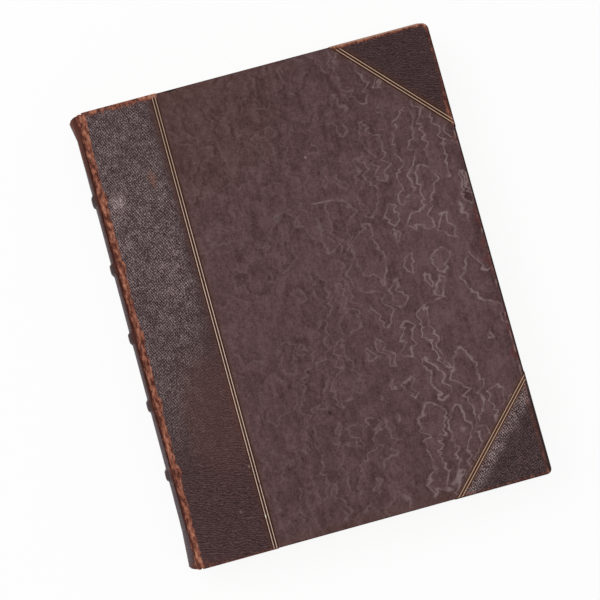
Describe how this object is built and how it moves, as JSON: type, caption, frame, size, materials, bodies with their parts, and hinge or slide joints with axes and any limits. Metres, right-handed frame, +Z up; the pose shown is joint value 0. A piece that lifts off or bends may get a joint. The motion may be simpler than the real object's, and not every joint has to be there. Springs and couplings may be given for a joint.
{
  "type": "book",
  "caption": "Closed half-leather book with a rounded, banded spine, leather corners, watered cloth sides and gilt lines; each cover swings open on its joint.",
  "frame": {"origin": "under the middle of the closed book, on the face it lies on", "axes": "+X from the spine to the fore-edge, +Y from the tail to the head, +Z up through the front cover"},
  "size_m": [0.243, 0.305, 0.038],
  "materials": {
    "leaves": "matte",
    "endpaper": "matte",
    "lining": "matte",
    "cord": "matte",
    "endband": "silky",
    "leather": "grained",
    "board": "matte",
    "cloth": "watered",
    "gilt": "satin"
  },
  "bodies": {
    "text_block": {"text_block": "leaves", "spine_linings": "lining", "sewing_cords": "cord", "head_endband": "endband", "tail_endband": "endband", "spine_leather": "leather"},
    "front_cover": {"front_board": "board", "front_pastedown": "endpaper", "front_leather_side": "leather", "front_cloth_side": "cloth", "front_head_corner": "leather", "front_tail_corner": "leather", "front_gilt_lines": "gilt"},
    "back_cover": {"back_board": "board", "back_pastedown": "endpaper", "back_leather_side": "leather", "back_cloth_side": "cloth", "back_head_corner": "leather", "back_tail_corner": "leather", "back_gilt_lines": "gilt"}
  },
  "joints": [
    {"name": "front_cover_hinge", "type": "hinge", "parent": "text_block", "child": "front_cover", "pos_m": [-0.11152, 0, 0.038], "axis": [0, -1, 0], "range_deg": [0, 180]},
    {"name": "back_cover_hinge", "type": "hinge", "parent": "text_block", "child": "back_cover", "pos_m": [-0.11152, 0, 0], "axis": [0, 1, 0], "range_deg": [0, 180]}
  ]
}
